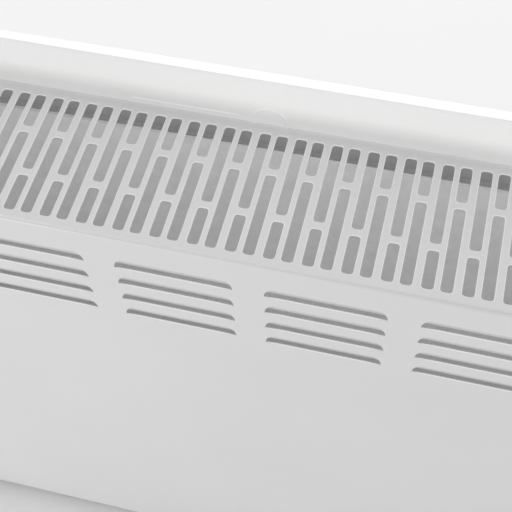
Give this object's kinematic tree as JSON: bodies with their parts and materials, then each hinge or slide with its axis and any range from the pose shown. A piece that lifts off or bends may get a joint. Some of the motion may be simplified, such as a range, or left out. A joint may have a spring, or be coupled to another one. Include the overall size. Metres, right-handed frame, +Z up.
{
  "type": "electric convector heater",
  "caption": "Flat panel convector heater: white sheet-steel casing with a slotted top grille, pressed rear louvres, a raised front panel, side thermostat knob and rocker switches.",
  "frame": {"origin": "on the floor, under the middle of the body's footprint (plug lead not counted)", "axes": "+X right as seen from the front, +Y towards the back, +Z up"},
  "size_m": [0.668, 0.2242, 0.4227],
  "materials": {
    "white_paint": "satin fine-texture powder coat",
    "cap_plastic": "moulded, satin",
    "galvanised_steel": "zinc coated",
    "aluminium": "extruded",
    "rod_steel": "heat-darkened",
    "ceramic": "unglazed ceramic",
    "silicone": "matt",
    "dark_plastic": "moulded",
    "knob_plastic": "moulded, satin",
    "rocker_plastic": "gloss",
    "lens_red": "translucent",
    "lamp_body": "moulded",
    "copper": "drawn",
    "brass": "turned",
    "plated_steel": "zinc plated",
    "nickel": "nickel plated",
    "wire_insulation": "PVC",
    "cable_sheath": "PVC",
    "rubber": "matt"
  },
  "bodies": {
    "heater": {"rear_casing": "white_paint", "front_panel": "white_paint", "left_end_cap": "cap_plastic", "right_end_cap": "cap_plastic", "inlet_guard": "white_paint", "heat_shield": "galvanised_steel", "left_inner_plate": "galvanised_steel", "right_inner_plate": "galvanised_steel", "element_fins": "aluminium", "element_rod": "rod_steel", "element_insulators": "ceramic", "element_terminals": "plated_steel", "element_bushes": "silicone", "thermostat_body": "dark_plastic", "capillary_tube": "copper", "sensor_bulb": "copper", "bulb_clip": "galvanised_steel", "power_switch_housing": "dark_plastic", "heat_switch_housing": "dark_plastic", "indicator_lens": "lens_red", "indicator_lamp": "lamp_body", "thermal_cutout": "dark_plastic", "terminal_block": "ceramic", "terminal_screws": "brass", "earth_stud": "brass", "internal_wiring": "wire_insulation", "mains_cable": "cable_sheath", "cable_gland": "dark_plastic", "plug_body": "cable_sheath", "plug_pins": "nickel", "rubber_feet": "rubber", "wall_buffers": "rubber", "cap_screws": "plated_steel", "plate_screws": "plated_steel", "shield_screws": "plated_steel", "guard_screws": "plated_steel", "control_screws": "plated_steel"},
    "thermostat_dial": {"thermostat_shaft": "plated_steel", "thermostat_knob": "knob_plastic"},
    "power_button": {"power_rocker": "rocker_plastic"},
    "heat_button": {"heat_rocker": "rocker_plastic"}
  },
  "joints": [
    {"name": "thermostat_turn", "type": "hinge", "parent": "heater", "child": "thermostat_dial", "pos_m": [0.3, 0, 0.335], "axis": [-1, 0, 0], "range_deg": [0, 270]},
    {"name": "power_rock", "type": "hinge", "parent": "heater", "child": "power_button", "pos_m": [0.2962, 0, 0.275], "axis": [0, -1, 0], "range_deg": [0, 20]},
    {"name": "heat_rock", "type": "hinge", "parent": "heater", "child": "heat_button", "pos_m": [0.2962, 0, 0.245], "axis": [0, -1, 0], "range_deg": [0, 20]}
  ]
}
